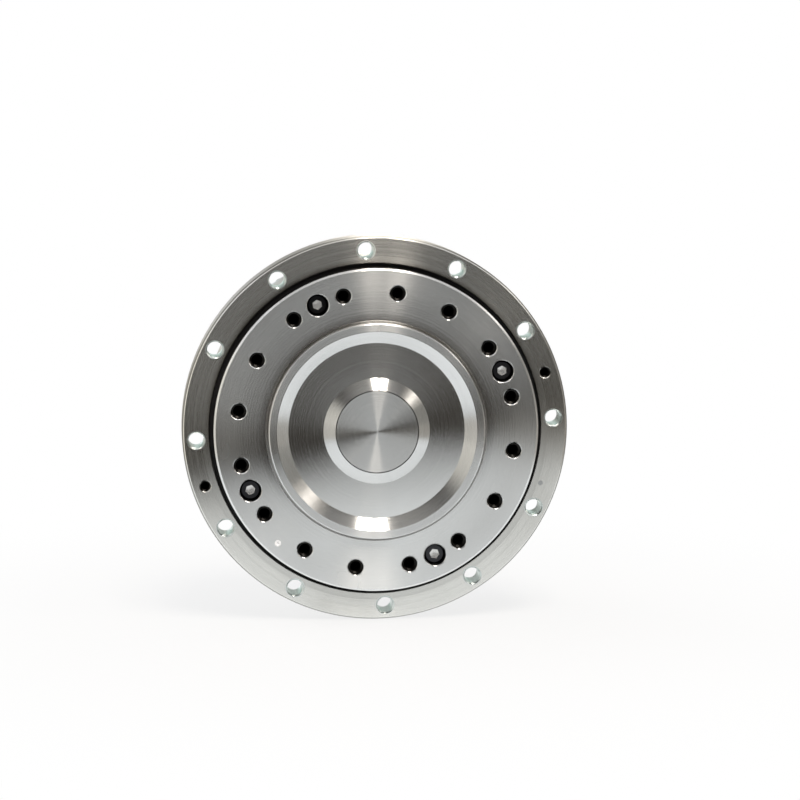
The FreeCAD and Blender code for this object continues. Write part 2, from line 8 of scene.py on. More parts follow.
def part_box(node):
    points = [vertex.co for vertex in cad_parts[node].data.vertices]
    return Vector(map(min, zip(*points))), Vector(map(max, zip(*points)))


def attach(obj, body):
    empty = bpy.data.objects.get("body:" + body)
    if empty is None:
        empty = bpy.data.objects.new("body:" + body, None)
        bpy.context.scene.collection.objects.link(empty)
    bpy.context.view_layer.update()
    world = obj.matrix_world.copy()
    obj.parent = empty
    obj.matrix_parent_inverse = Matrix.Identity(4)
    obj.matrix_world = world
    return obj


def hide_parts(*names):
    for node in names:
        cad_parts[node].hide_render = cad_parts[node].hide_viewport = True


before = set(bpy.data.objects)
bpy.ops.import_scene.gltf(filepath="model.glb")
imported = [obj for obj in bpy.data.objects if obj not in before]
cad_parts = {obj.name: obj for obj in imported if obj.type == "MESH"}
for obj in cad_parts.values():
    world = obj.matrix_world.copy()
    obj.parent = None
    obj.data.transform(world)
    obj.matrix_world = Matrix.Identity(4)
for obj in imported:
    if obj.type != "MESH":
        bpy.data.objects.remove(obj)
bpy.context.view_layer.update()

mm = 0.001  # every place below is in millimetres, as on the drawing
scene = bpy.context.scene
scene.view_settings.view_transform = "Standard"


# node helpers

def clearedTree(holder):
    holder.use_nodes = True
    holder.node_tree.nodes.clear()
    return holder.node_tree


def addNode(tree, kind, **settings):
    node = tree.nodes.new(kind)
    for key, value in settings.items():
        setattr(node, key, value)
    return node


def plug(tree, value, socket):
    if isinstance(value, bpy.types.NodeSocket):
        tree.links.new(value, socket)
    else:
        socket.default_value = value


def calc(tree, operation, *values):
    node = addNode(tree, "ShaderNodeMath", operation=operation)
    for value, socket in zip(values, node.inputs):
        plug(tree, value, socket)
    return node.outputs["Value"]


def distance(tree, first, second):
    squares = [calc(tree, "MULTIPLY", side, side) for side in (first, second)]
    return calc(tree, "SQRT", calc(tree, "ADD", *squares))


def remap(tree, value, low, high, toLow=0.0, toHigh=1.0, smooth=False):
    node = addNode(tree, "ShaderNodeMapRange", clamp=True)
    node.interpolation_type = "SMOOTHSTEP" if smooth else "LINEAR"
    for key, item in (("Value", value), ("From Min", low), ("From Max", high), ("To Min", toLow),
                      ("To Max", toHigh)):
        plug(tree, item, node.inputs[key])
    return node.outputs["Result"]


def opaque(colour):
    return colour if isinstance(colour, bpy.types.NodeSocket) else (*colour, 1.0)


def blendColours(tree, factor, first, second):
    node = addNode(tree, "ShaderNodeMix", data_type="RGBA")
    plug(tree, factor, node.inputs["Factor"])
    plug(tree, opaque(first), node.inputs["A"])
    plug(tree, opaque(second), node.inputs["B"])
    return node.outputs["Result"]


def noise(tree, place, scale, detail, dimensions="3D"):
    node = addNode(tree, "ShaderNodeTexNoise", noise_dimensions=dimensions)
    plug(tree, place, node.inputs["W" if dimensions == "1D" else "Vector"])
    plug(tree, scale, node.inputs["Scale"])
    plug(tree, detail, node.inputs["Detail"])
    return node.outputs["Fac"]


def addBump(tree, shader, height, look):
    bump = addNode(tree, "ShaderNodeBump")
    bump.inputs["Strength"].default_value = look["bump"]
    bump.inputs["Distance"].default_value = look["bumpDepth"] * mm
    plug(tree, height, bump.inputs["Height"])
    tree.links.new(bump.outputs["Normal"], shader.inputs["Normal"])


def newGroup(name, inputs, outputs):
    tree = bpy.data.node_groups.new(name, "ShaderNodeTree")
    for label, value in inputs.items():
        socket = tree.interface.new_socket(label, in_out="INPUT", socket_type="NodeSocketFloat")
        socket.default_value = value
    for label in outputs:
        tree.interface.new_socket(label, in_out="OUTPUT", socket_type="NodeSocketFloat")
    return tree, addNode(tree, "NodeGroupInput").outputs, addNode(tree, "NodeGroupOutput").inputs


def placeGroup(tree, group, **values):
    node = addNode(tree, "ShaderNodeGroup", node_tree=group)
    for key, value in values.items():
        plug(tree, value, node.inputs[key])
    return node.outputs


def objectPlace(tree):
    return addNode(tree, "ShaderNodeTexCoord").outputs["Object"]


def splitAxes(tree, place):
    parts = addNode(tree, "ShaderNodeSeparateXYZ")
    tree.links.new(place, parts.inputs["Vector"])
    return parts.outputs["X"], parts.outputs["Y"], parts.outputs["Z"]


# tool marks that run round the Y axis, on faces, cones and turned diameters alike
marksLook = {"slant": 0.618,  # keeps 45 degree cones from going blank
             "fineDetail": 3.0, "fineShare": 0.12, "waveDetail": 1.0, "waveShare": 0.88}


def makeTurnedMarks():
    tree, given, result = newGroup("turnedMarks", {"Fine": 4000.0, "Wave": 350.0},
                                   ("Height", "Tone", "Radius"))
    x, y, z = splitAxes(tree, objectPlace(tree))
    radius = distance(tree, x, z)
    along = calc(tree, "MULTIPLY_ADD", y, marksLook["slant"], radius)
    fine = noise(tree, calc(tree, "MULTIPLY", along, given["Fine"]), 1.0, marksLook["fineDetail"], "1D")
    wave = noise(tree, calc(tree, "MULTIPLY", along, given["Wave"]), 1.0, marksLook["waveDetail"], "1D")
    broad = calc(tree, "MULTIPLY", wave, marksLook["waveShare"])
    height = calc(tree, "MULTIPLY_ADD", fine, marksLook["fineShare"], broad)
    tree.links.new(height, result["Height"])
    tree.links.new(fine, result["Tone"])
    tree.links.new(radius, result["Radius"])
    return tree


# faint smears of oil and handling
smearLook = {"detail": 4.0, "distortion": 0.6, "from": 0.42, "to": 0.72}


def makeHandling():
    tree, given, result = newGroup("handling", {"Scale": 40.0}, ("Smear",))
    broad = noise(tree, objectPlace(tree), given["Scale"], smearLook["detail"])
    broad.node.inputs["Distortion"].default_value = smearLook["distortion"]
    tree.links.new(remap(tree, broad, smearLook["from"], smearLook["to"], smooth=True), result["Smear"])
    return tree


# distance to the nearest hole axis of a bolt circle, counted clockwise from +Z as seen from the front
def makeHoleCircle():
    tree, given, result = newGroup("holeCircle", {"Circle": 0.05, "Count": 12.0, "First": 0.0},
                                   ("Distance",))
    x, _, z = splitAxes(tree, objectPlace(tree))
    radius = distance(tree, x, z)
    step = calc(tree, "DIVIDE", 2 * math.pi, given["Count"])
    turn = calc(tree, "SUBTRACT", calc(tree, "ARCTAN2", x, z), calc(tree, "RADIANS", given["First"]))
    share = calc(tree, "DIVIDE", turn, step)
    aside = calc(tree, "MULTIPLY", calc(tree, "SUBTRACT", share, calc(tree, "ROUND", share)), step)
    across = calc(tree, "MULTIPLY", radius, calc(tree, "SINE", aside))
    outward = calc(tree, "SUBTRACT", calc(tree, "MULTIPLY", radius, calc(tree, "COSINE", aside)),
                   given["Circle"])
    tree.links.new(distance(tree, across, outward), result["Distance"])
    return tree


turnedMarks = makeTurnedMarks()
handling = makeHandling()
holeCircle = makeHoleCircle()


# pieces made here

def activate(piece):
    bpy.ops.object.select_all(action="DESELECT")
    piece.select_set(True)
    bpy.context.view_layer.objects.active = piece


def applied(piece, kind, **settings):
    activate(piece)
    step = piece.modifiers.new(kind.lower(), kind)
    for key, value in settings.items():
        setattr(step, key, value)
    bpy.ops.object.modifier_apply(modifier=step.name)


def settle(piece, name, body):
    activate(piece)
    bpy.ops.object.transform_apply(location=True, rotation=True, scale=True)
    piece.name = name
    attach(piece, body)
    return piece


def twinOf(piece):
    twin = piece.copy()
    twin.data = piece.data.copy()
    scene.collection.objects.link(twin)
    return twin


# copies of a piece round the Y axis, each turned a little further about its own
def placeRound(piece, name, row, y, spin):
    made = []
    for number in range(row["count"]):
        turn = math.radians(row["first"] + 360.0 / row["count"] * number)
        twin = twinOf(piece)
        place = Vector((row["circle"] * math.sin(turn), y, row["circle"] * math.cos(turn))) * mm
        twin.matrix_world = Matrix.Translation(place) @ Matrix.Rotation(math.radians(spin * number), 4, "Y")
        made.append(settle(twin, name + "." + str(number + 1), row["body"]))
    bpy.data.objects.remove(piece)
    return made


smoothing = {"weld": 0.002, "flat": 0.02, "skew": 0.6, "crease": 28.0}


def smoothed(node, body, slot):
    twin = twinOf(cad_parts[node])
    twin.parent = None
    twin.matrix_world = Matrix.Identity(4)
    activate(twin)
    bpy.ops.mesh.customdata_custom_splitnormals_clear()
    bpy.ops.object.mode_set(mode="EDIT")
    bpy.ops.mesh.select_all(action="SELECT")
    bpy.ops.mesh.remove_doubles(threshold=smoothing["weld"] * mm)
    bpy.ops.mesh.tris_convert_to_quads(face_threshold=smoothing["flat"], shape_threshold=smoothing["skew"])
    bpy.ops.object.mode_set(mode="OBJECT")
    bpy.ops.object.shade_smooth_by_angle(angle=math.radians(smoothing["crease"]))
    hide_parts(node)
    return settle(twin, node + ".smooth", body)


def selectWhere(piece, test):
    cage = bmesh.from_edit_mesh(piece.data)
    for vertex in cage.verts:
        vertex.select = test(vertex.co)
    cage.select_flush_mode()
    bmesh.update_edit_mesh(piece.data)


def extrude(rise):
    bpy.ops.mesh.extrude_region_move(TRANSFORM_OT_translate={"value": (0, 0, rise * mm)})


def narrow(share):
    bpy.ops.transform.resize(value=(share, share, 1.0))


outputScrew = {"node": "output_screws", "body": "output", "slot": "black_oxide_steel", "thread": 3.0,
               "head": 5.5, "headHeight": 3.0, "socket": 2.5, "socketDepth": 1.6, "circle": 39.5,
               "first": 65.1, "count": 4, "back": False}
coverScrew = {"node": "cover_screws", "body": "housing", "slot": "black_oxide_steel", "thread": 2.0,
              "head": 3.8, "headHeight": 2.0, "socket": 1.5, "socketDepth": 1.0, "circle": 45.85,
              "first": 12.0, "count": 8, "back": True}
screwShape = {"sides": 64, "knurl": 0.972, "edge": 0.09, "crown": 0.91, "underside": 0.95, "tip": 0.3,
              "tipShare": 0.8, "broachInset": 0.12, "drillPoint": 0.29, "drillShare": 0.15, "crease": 20.0,
              "wearAndHighlightBelow": 0.6, "wearAndHighlightTop": 0.98, "spin": 37.0}


def makeScrew(screw):
    low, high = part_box(screw["node"])
    head, thread, tall = screw["head"] / 2, screw["thread"] / 2, screw["headHeight"]
    shank = (high[1] - low[1]) / mm - tall
    edge = head * screwShape["edge"]
    bpy.ops.object.select_all(action="DESELECT")
    bpy.ops.mesh.primitive_cylinder_add(vertices=screwShape["sides"], radius=head * mm,
                                        depth=(tall - 2 * edge) * mm, location=(0, 0, (tall / 2) * mm))
    piece = bpy.context.object
    bpy.ops.object.transform_apply(location=True, rotation=True, scale=True)
    bpy.ops.object.mode_set(mode="EDIT")
    bpy.ops.mesh.select_mode(type="VERT")
    bpy.ops.mesh.select_all(action="DESELECT")
    step = 2 * math.pi / screwShape["sides"]  # every second line of the head's side goes in: the knurl
    selectWhere(piece, lambda co: round(math.atan2(co.y, co.x) / step) % 2 == 0)
    narrow(screwShape["knurl"])
    selectWhere(piece, lambda co: co.z > tall / 2 * mm)
    extrude(edge)
    narrow(screwShape["crown"])
    selectWhere(piece, lambda co: co.z < tall / 2 * mm)
    extrude(-edge)
    narrow(screwShape["underside"])
    extrude(0)
    narrow(thread / head / screwShape["underside"])
    extrude(screwShape["tip"] - shank)
    extrude(-screwShape["tip"])
    narrow(screwShape["tipShare"])
    bpy.ops.mesh.select_all(action="SELECT")
    bpy.ops.mesh.normals_make_consistent(inside=False)
    bpy.ops.object.mode_set(mode="OBJECT")
    corner = screw["socket"] / math.sqrt(3)
    bpy.ops.mesh.primitive_cylinder_add(vertices=6, radius=corner * mm, depth=2 * screw["socketDepth"] * mm,
                                        location=(0, 0, tall * mm))
    broach = bpy.context.object
    bpy.ops.object.transform_apply(location=True, rotation=True, scale=True)
    bpy.ops.object.mode_set(mode="EDIT")
    selectWhere(broach, lambda co: co.z < tall * mm)
    bpy.ops.mesh.inset(thickness=screwShape["broachInset"] * mm)
    extrude(-screwShape["drillPoint"])
    narrow(screwShape["drillShare"])
    bpy.ops.object.mode_set(mode="OBJECT")
    applied(piece, "BOOLEAN", operation="DIFFERENCE", object=broach)
    bpy.data.objects.remove(broach)
    activate(piece)
    bpy.ops.object.shade_smooth_by_angle(angle=math.radians(screwShape["crease"]))
    wearAndHighlight = piece.data.attributes.new("socket", "FLOAT", "FACE")  # the socket faces are painted bright: a painted highlight, with some real wear from the key
    lowest = (tall - screw["socketDepth"] - screwShape["wearAndHighlightBelow"]) * mm
    highest = screwShape["wearAndHighlightTop"] * tall * mm
    for face in piece.data.polygons:
        within = math.hypot(face.center.x, face.center.y) < corner * mm
        wearAndHighlight.data[face.index].value = float(within and lowest < face.center.z < highest)
    piece.rotation_euler = (math.radians(-90 if screw["back"] else 90), 0, 0)
    bpy.ops.object.transform_apply(location=True, rotation=True, scale=True)
    seat = high[1] / mm - tall if screw["back"] else low[1] / mm + tall
    made = placeRound(piece, screw["node"], screw, seat, screwShape["spin"])
    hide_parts(screw["node"])
    return made


outputThread = {"name": "outputThread", "body": "output", "slot": "turned_steel", "radius": 2.0,
                "pitch": 0.7, "depth": 8.0, "circle": 39.5, "first": 8.8, "count": 16, "face": -3.25}
accessoryThread = {"name": "accessoryThread", "body": "housing", "slot": "ground_steel", "radius": 1.5,
                   "pitch": 0.5, "depth": 5.6, "circle": 51.0, "first": 72.0, "count": 2, "face": 0.3}
motorThread = {"name": "motorThread", "body": "housing", "slot": "housing_alloy", "radius": 2.0,
               "pitch": 0.7, "depth": 7.2, "circle": 30.0, "first": 45.0, "count": 4, "face": 33.6}
threadShape = {"ridge": 0.36,  # radius of the triangle's circle, in pitches
               "sunk": 0.02, "steps": 20, "crease": 40.0, "spin": 61.0}


def makeThreads(thread):
    bpy.ops.object.select_all(action="DESELECT")
    bpy.ops.mesh.primitive_circle_add(vertices=3, radius=thread["pitch"] * threadShape["ridge"] * mm,
                                      fill_type="NOTHING")
    piece = bpy.context.object
    bpy.ops.object.mode_set(mode="EDIT")
    bpy.ops.mesh.select_all(action="SELECT")
    bpy.ops.transform.rotate(value=math.radians(90), orient_axis="Z", center_override=(0, 0, 0))
    points = [vertex.co.x for vertex in bmesh.from_edit_mesh(piece.data).verts]
    if sum(1 for x in points if x > 0) == 1:  # the crest has to point at the axis
        bpy.ops.transform.rotate(value=math.radians(180), orient_axis="Z", center_override=(0, 0, 0))
    base = max(vertex.co.x for vertex in bmesh.from_edit_mesh(piece.data).verts)
    wall = (thread["radius"] + threadShape["sunk"]) * mm
    bpy.ops.transform.translate(value=(wall - base, 0, 0))
    bpy.ops.object.mode_set(mode="OBJECT")
    applied(piece, "SCREW", axis="Y", angle=2 * math.pi, screw_offset=thread["pitch"] * mm,
            iterations=int(thread["depth"] / thread["pitch"]), steps=threadShape["steps"],
            render_steps=threadShape["steps"])
    bpy.ops.object.mode_set(mode="EDIT")
    bpy.ops.mesh.select_all(action="SELECT")
    bpy.ops.mesh.fill_holes(sides=3)
    bpy.ops.mesh.normals_make_consistent(inside=False)
    bpy.ops.object.mode_set(mode="OBJECT")
    bpy.ops.object.shade_smooth_by_angle(angle=math.radians(threadShape["crease"]))
    return placeRound(piece, thread["name"], thread, thread["face"], threadShape["spin"])


smoothNodes = {"bearing_outer_ring": ("housing", "ground_steel"), "output_ring": ("output", "turned_steel"),
               "output_hub": ("output", "turned_steel"), "centre_cap": ("output", "turned_steel"),
               "rear_housing": ("housing", "housing_alloy"), "input_shaft": ("input", "shaft_steel"),
               "flexspline": ("housing", "gear_steel")}
smoothPieces = {node: smoothed(node, *hold) for node, hold in smoothNodes.items()}
screws = {screw["node"]: makeScrew(screw) for screw in (outputScrew, coverScrew)}
threads = makeThreads(outputThread) + makeThreads(accessoryThread) + makeThreads(motorThread)
print("pieces:", len(smoothPieces), "smoothed,", sum(len(row) for row in screws.values()), "screws,",
      len(threads), "threads")


# finishes

turning = {"toneFrom": 0.3, "toneTo": 0.7, "grooveFrom": 0.5, "grooveTo": 0.76, "acrossMarks": 0.25,
           "seam": 0.05}  # seam: half the width over which one finish gives way to the next


def newMaterial(name):
    material = bpy.data.materials.new(name)
    tree = clearedTree(material)
    out = addNode(tree, "ShaderNodeOutputMaterial")
    shader = addNode(tree, "ShaderNodeBsdfPrincipled")
    tree.links.new(shader.outputs["BSDF"], out.inputs["Surface"])
    return material, tree, shader


# a ring of the face that was finished by another cut, or that carries painted shade
def zoneShare(tree, radius, y, zone):
    start, end, soft = zone["from"], zone["to"], zone["soft"]
    rise = remap(tree, radius, (start - soft) * mm, start * mm, smooth=True)
    fall = remap(tree, radius, end * mm, (end + soft) * mm, 1.0, 0.0, smooth=True)
    share = calc(tree, "MULTIPLY", rise, fall)
    if "behind" in zone:
        back = remap(tree, y, zone["behind"] * mm, (zone["behind"] + 2 * turning["seam"]) * mm)
        share = calc(tree, "MULTIPLY", share, back)
    return share


# the walls of a circle of holes, from the front face to the given depth
def holeShare(tree, y, hole):
    away = placeGroup(tree, holeCircle, Circle=hole["circle"] * mm, Count=float(hole["count"]),
                      First=hole["first"])["Distance"]
    seam = turning["seam"]
    inside = remap(tree, away, (hole["radius"] - seam) * mm, (hole["radius"] + seam) * mm, 1.0, 0.0)
    within = remap(tree, y, (hole["bottom"] - seam) * mm, (hole["bottom"] + seam) * mm, 1.0, 0.0)
    return calc(tree, "MULTIPLY", inside, within)


def turnedSteel(name, look):
    material, tree, shader = newMaterial(name)
    marks = placeGroup(tree, turnedMarks, Fine=look["fine"], Wave=look["wave"])
    smear = placeGroup(tree, handling, Scale=look["smearScale"])["Smear"]
    y = splitAxes(tree, objectPlace(tree))[1]
    tone = remap(tree, marks["Tone"], turning["toneFrom"], turning["toneTo"], 1.0 - look["toneSpread"], 1.0)
    colour = blendColours(tree, tone, look["dark"], look["light"])
    colour = blendColours(tree, calc(tree, "MULTIPLY", smear, look["smear"]), colour, look["film"])
    # a few grooves scatter far more than the rest
    rough = remap(tree, marks["Tone"], turning["grooveFrom"], turning["grooveTo"], *look["rough"])
    rough = calc(tree, "MULTIPLY_ADD", smear, look["smearRough"], rough)
    metal = 1.0
    for zone in look.get("zones", ()):
        share = zoneShare(tree, marks["Radius"], y, zone)
        rough = calc(tree, "MULTIPLY_ADD", share, zone["rough"], rough)
        if "tint" in zone:
            colour = blendColours(tree, calc(tree, "MULTIPLY", share, zone["tint"]), colour, zone["colour"])
    # hole walls painted: painted shade in the dark holes, a painted reflection in the pale ones, a painted
    # highlight at the dimple
    for hole in look.get("holes", ()):
        inside = holeShare(tree, y, hole)
        colour = blendColours(tree, inside, colour, hole["colour"])
        rest = calc(tree, "MULTIPLY", rough, calc(tree, "SUBTRACT", 1.0, inside))
        rough = calc(tree, "MULTIPLY_ADD", inside, hole["rough"], rest)
        # the matt white of a painted highlight
        if "mattHighlight" in hole:
            metal = calc(tree, "MULTIPLY_ADD", inside, -hole["mattHighlight"], 1.0)
    # the socket's painted highlight, with some real wear
    if "wearAndHighlight" in look:
        wearAndHighlight = addNode(tree, "ShaderNodeAttribute", attribute_name=look["wearAndHighlight"]["attribute"]).outputs["Fac"]
        colour = blendColours(tree, wearAndHighlight, colour, look["wearAndHighlight"]["colour"])
        rough = calc(tree, "MULTIPLY_ADD", wearAndHighlight, look["wearAndHighlight"]["rough"], rough)
        metal = calc(tree, "MULTIPLY_ADD", wearAndHighlight, -look["wearAndHighlight"]["matt"], 1.0)
    plug(tree, colour, shader.inputs["Base Color"])
    plug(tree, rough, shader.inputs["Roughness"])
    plug(tree, metal, shader.inputs["Metallic"])
    shader.inputs["Anisotropic"].default_value = look["stretch"]
    shader.inputs["Anisotropic Rotation"].default_value = turning["acrossMarks"]
    tangent = addNode(tree, "ShaderNodeTangent", direction_type="RADIAL", axis="Y")
    tree.links.new(tangent.outputs["Tangent"], shader.inputs["Tangent"])
    addBump(tree, shader, marks["Height"], look)
    return material


# circles of holes whose walls are painted: radii and the depth's end in millimetres, the first hole's angle
# in degrees
# painted reflection: the through holes' walls and rims painted pale teal-white, like the bright background
# seen through them
flangeHoles = {"circle": 51.0, "count": 12, "first": -3.0, "radius": 2.75, "bottom": 9.5, "rough": 0.3,
               "colour": (0.88, 0.92, 0.90)}
# painted shade: the walls of the tapped holes and the screw wells painted near black
accessoryHoles = {"circle": 51.0, "count": 2, "first": 72.0, "radius": 1.56, "bottom": 7.5, "rough": 0.5,
                  "colour": (0.012, 0.012, 0.012)}
outputHoles = {"circle": 39.5, "count": 16, "first": 8.8, "radius": 2.22, "bottom": 8.0, "rough": 0.5,
               "colour": (0.012, 0.012, 0.012)}
screwWells = {"circle": 39.5, "count": 4, "first": 65.1, "radius": 3.12, "bottom": 8.0, "rough": 0.5,
              "colour": (0.02, 0.02, 0.02)}
# painted highlight: the witness dimple painted white and matt
witnessDimpleHighlight = {"circle": 42.48, "count": 1, "first": 221.6, "radius": 0.9, "bottom": 8.0, "rough": 0.4,
              "mattHighlight": 1.0, "colour": (1.0, 1.0, 1.0)}
# painted shade: the motor holes' walls painted dark
motorHoles = {"circle": 30.0, "count": 4, "first": 45.0, "radius": 2.05, "bottom": 42.0, "rough": 0.5,
              "colour": (0.05, 0.05, 0.05)}

# rings of another cut, and rings of painted shade: radii in millimetres, what they add to the roughness,
# how far they tint
seatZone = {"from": 47.2, "to": 49.3, "soft": 0.15, "rough": 0.05, "tint": 0.4,
            "colour": (0.80, 0.79, 0.76)}
# painted shade: the outer ring's pocket round the output ring painted near black, for the shade in the gap
pocketPaintedShade = {"from": 40.0, "to": 47.25, "soft": 0.02, "rough": 0.2, "tint": 1.0,
              "colour": (0.03, 0.028, 0.027)}
barrelZone = {"from": 46.0, "to": 54.7, "soft": 0.15, "behind": 8.5, "rough": 0.14, "tint": 0.65,
              "colour": (0.52, 0.51, 0.485)}
rimWall = {"from": 54.7, "to": 60.0, "soft": 0.15, "rough": 0.32, "tint": 0.6,
           "colour": (0.50, 0.49, 0.465)}
ringZone = {"from": 43.0, "to": 60.0, "soft": 10.0, "rough": 0.06}
# painted shade: the ring face darkened towards the hub's foot, with a little less roughness there
footPaintedShade = {"from": 31.0, "to": 31.2, "soft": 3.2, "rough": -0.06, "tint": 0.16,
            "colour": (0.30, 0.29, 0.28)}
# painted shade: the output ring's side wall painted near black, for the shade in the gap to the outer ring
rimSidePaintedShade = {"from": 46.12, "to": 60.0, "soft": 0.02, "rough": 0.2, "tint": 1.0,
           "colour": (0.03, 0.028, 0.027)}
landZone = {"from": 28.6, "to": 40.0, "soft": 0.1, "rough": 0.15, "tint": 0.3, "colour": (0.8, 0.8, 0.8)}
funnelZone = {"from": 25.1, "to": 28.4, "soft": 0.1, "rough": 0.10, "tint": 0.7,
              "colour": (0.78, 0.78, 0.78)}
coneZone = {"from": 11.9, "to": 15.0, "soft": 0.1, "rough": 0.10, "tint": 0.7, "colour": (0.78, 0.78, 0.78)}
# partly real, partly painted shade: the hub's side wall is rougher, and its colour is darkened as painted
# shade
hubWallPaintedShade = {"from": 30.68, "to": 40.0, "soft": 0.04, "rough": 0.15, "tint": 0.5,
           "colour": (0.50, 0.48, 0.46)}
# painted shade: the cap's edge darkened as the shade of its seam with the hub
seamPaintedShade = {"from": 11.6, "to": 13.0, "soft": 0.06, "rough": 0.2, "tint": 0.85,
            "colour": (0.06, 0.058, 0.055)}

plainLook = {"light": (0.95, 0.95, 0.945), "dark": (0.88, 0.88, 0.875), "film": (0.66, 0.64, 0.62),
             "toneSpread": 0.35, "rough": (0.20, 0.36), "stretch": 1.0, "fine": 40000.0, "wave": 180.0,
             "bump": 0.15, "bumpDepth": 0.01, "smear": 0.15, "smearScale": 26.0, "smearRough": 0.02}
outerRingLook = {"light": (0.92, 0.905, 0.87), "dark": (0.83, 0.815, 0.77), "film": (0.50, 0.47, 0.43),
                 "toneSpread": 0.35, "rough": (0.20, 0.43), "stretch": 1.0, "fine": 16000.0, "wave": 260.0,
                 "bump": 0.3, "bumpDepth": 0.03, "smear": 0.2, "smearScale": 30.0, "smearRough": 0.02,
                 "holes": (flangeHoles, accessoryHoles),
                 "zones": (seatZone, pocketPaintedShade, barrelZone, rimWall)}
outputLook = dict(plainLook, holes=(outputHoles, screwWells, witnessDimpleHighlight),
                  zones=(ringZone, footPaintedShade, rimSidePaintedShade))
hubLook = dict(plainLook, rough=(0.12, 0.32), zones=(landZone, funnelZone, coneZone, hubWallPaintedShade))
capLook = dict(plainLook, rough=(0.24, 0.36), fine=60000.0, zones=(seamPaintedShade,))
gearLook = dict(plainLook, light=(0.56, 0.56, 0.57), dark=(0.46, 0.46, 0.47))
coverLook = dict(plainLook, light=(0.72, 0.72, 0.73), dark=(0.63, 0.63, 0.64), rough=(0.38, 0.48),
                 holes=(motorHoles,))
bearingLook = dict(plainLook, light=(0.70, 0.70, 0.71), dark=(0.62, 0.62, 0.63), rough=(0.14, 0.2),
                   stretch=0.4, bump=0.1)
shaftLook = dict(plainLook, light=(0.70, 0.70, 0.695), dark=(0.62, 0.62, 0.615), rough=(0.24, 0.32),
                 stretch=0.5)
keyLook = dict(plainLook, light=(0.50, 0.50, 0.50), dark=(0.42, 0.42, 0.42), stretch=0.2)
springLook = dict(plainLook, light=(0.17, 0.17, 0.18), dark=(0.12, 0.12, 0.13), stretch=0.2)
blackLook = dict(plainLook, film=(0.07, 0.065, 0.06), stretch=0.3)
# black oxide; its socket faces painted near white and matt: a painted highlight, with some wear from the
# key
oxideLook = dict(blackLook, light=(0.055, 0.055, 0.06), dark=(0.035, 0.035, 0.04), rough=(0.32, 0.42),
                 wearAndHighlight={"attribute": "socket", "colour": (0.98, 0.98, 0.97), "rough": -0.08, "matt": 0.6})
# painted shade: the threads inside the holes painted near black
threadLook = dict(blackLook, light=(0.022, 0.021, 0.020), dark=(0.010, 0.0095, 0.009), rough=(0.28, 0.4))

finishes = {
    "outerRingSteel": (outerRingLook, ("bearing_outer_ring", "roller_plug")),
    "outputSteel": (outputLook, ("output_ring",)),
    "hubSteel": (hubLook, ("output_hub",)),
    "capSteel": (capLook, ("centre_cap",)),
    "gearSteel": (gearLook, ("flexspline", "circular_spline", "wave_cam")),
    "coverAlloy": (coverLook, ("rear_housing",)),
    "bearingSteel": (bearingLook, ("cross_rollers", "wave_outer_race", "wave_inner_race", "wave_balls",
                                   "front_inner_race", "front_outer_race", "front_balls",
                                   "rear_inner_race", "rear_outer_race", "rear_balls")),
    "shaftSteel": (shaftLook, ("input_shaft",)),
    "keySteel": (keyLook, ("shaft_key", "cam_key", "plug_pin")),
    "springSteel": (springLook, ("cam_snap_ring", "shaft_snap_ring", "housing_snap_ring",
                                 "input_seal_spring")),
    "blackOxide": (oxideLook, ("output_screws", "cover_screws")),
}


def dress(piece, material):
    piece.data.materials.clear()
    piece.data.materials.append(material)


def finish(material, names):
    for name in names:
        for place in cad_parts[name].material_slots:
            place.material = material
        if name in smoothPieces:
            dress(smoothPieces[name], material)
        for screw in screws.get(name, ()):
            dress(screw, material)


for title, (look, names) in finishes.items():
    finish(turnedSteel(title, look), names)
threadSteel = turnedSteel("paintedShadeThread", threadLook)
for ridge in threads:
    dress(ridge, threadSteel)


def moulded(name, look):
    material, tree, shader = newMaterial(name)
    grain = noise(tree, objectPlace(tree), look["grain"], look["detail"])
    smear = placeGroup(tree, handling, Scale=look["smearScale"])["Smear"]
    colour = blendColours(tree, remap(tree, grain, *look["grainRange"]), look["dark"], look["light"])
    plug(tree, colour, shader.inputs["Base Color"])
    plug(tree, remap(tree, smear, 0.0, 1.0, *look["rough"]), shader.inputs["Roughness"])
    addBump(tree, shader, grain, look)
    return material


rubberLook = {"light": (0.012, 0.011, 0.011), "dark": (0.006, 0.0055, 0.0055), "grain": 2500.0,
              "detail": 3.0, "grainRange": (0.35, 0.65), "smearScale": 60.0, "rough": (0.5, 0.7),
              "bump": 0.3, "bumpDepth": 0.02}
cageLook = dict(rubberLook, light=(0.50, 0.36, 0.20), dark=(0.40, 0.27, 0.14), grain=1800.0,
                rough=(0.42, 0.55), bump=0.2)
mouldings = {
    "sealRubber": (rubberLook, ("output_seal", "brim_o_ring_front", "brim_o_ring_rear", "input_seal")),
    "cageResin": (cageLook, ("wave_ball_cage", "front_ball_cage", "rear_ball_cage")),
}
for title, (look, names) in mouldings.items():
    finish(moulded(title, look), names)
print("finishes:", len(finishes) + len(mouldings))


# stage

roomColours = {"underTable": (0.040, 0.037, 0.033), "low": (0.055, 0.050, 0.043),
               "high": (0.38, 0.37, 0.345), "left": (0.98, 0.95, 0.86), "right": (0.33, 0.32, 0.29),
               "backdrop": (0.42, 0.62, 0.55), "fill": (0.55, 0.55, 0.56), "white": (1, 1, 1)}
table = {"height": -55.0, "side": 12000.0, "matt": (0.86, 0.86, 0.86), "shade": 0.24, "shadeFrom": 200.0,
         "shadeTo": 40.0, "front": -224.0, "slant": 0.8, "fade": (-64.0, 77.0), "left": -130.0,
         "right": 120.0, "sideFade": 110.0, "colour": (0.97, 1.0, 1.0), "leftColour": (0.90, 0.87, 0.79),
         "rightColour": (0.40, 0.38, 0.34), "middle": 20.0, "roomFrom": 1.4, "roomTo": 3.0,
         "wide": (0.9, 1.8), "axisRoom": 10.0}


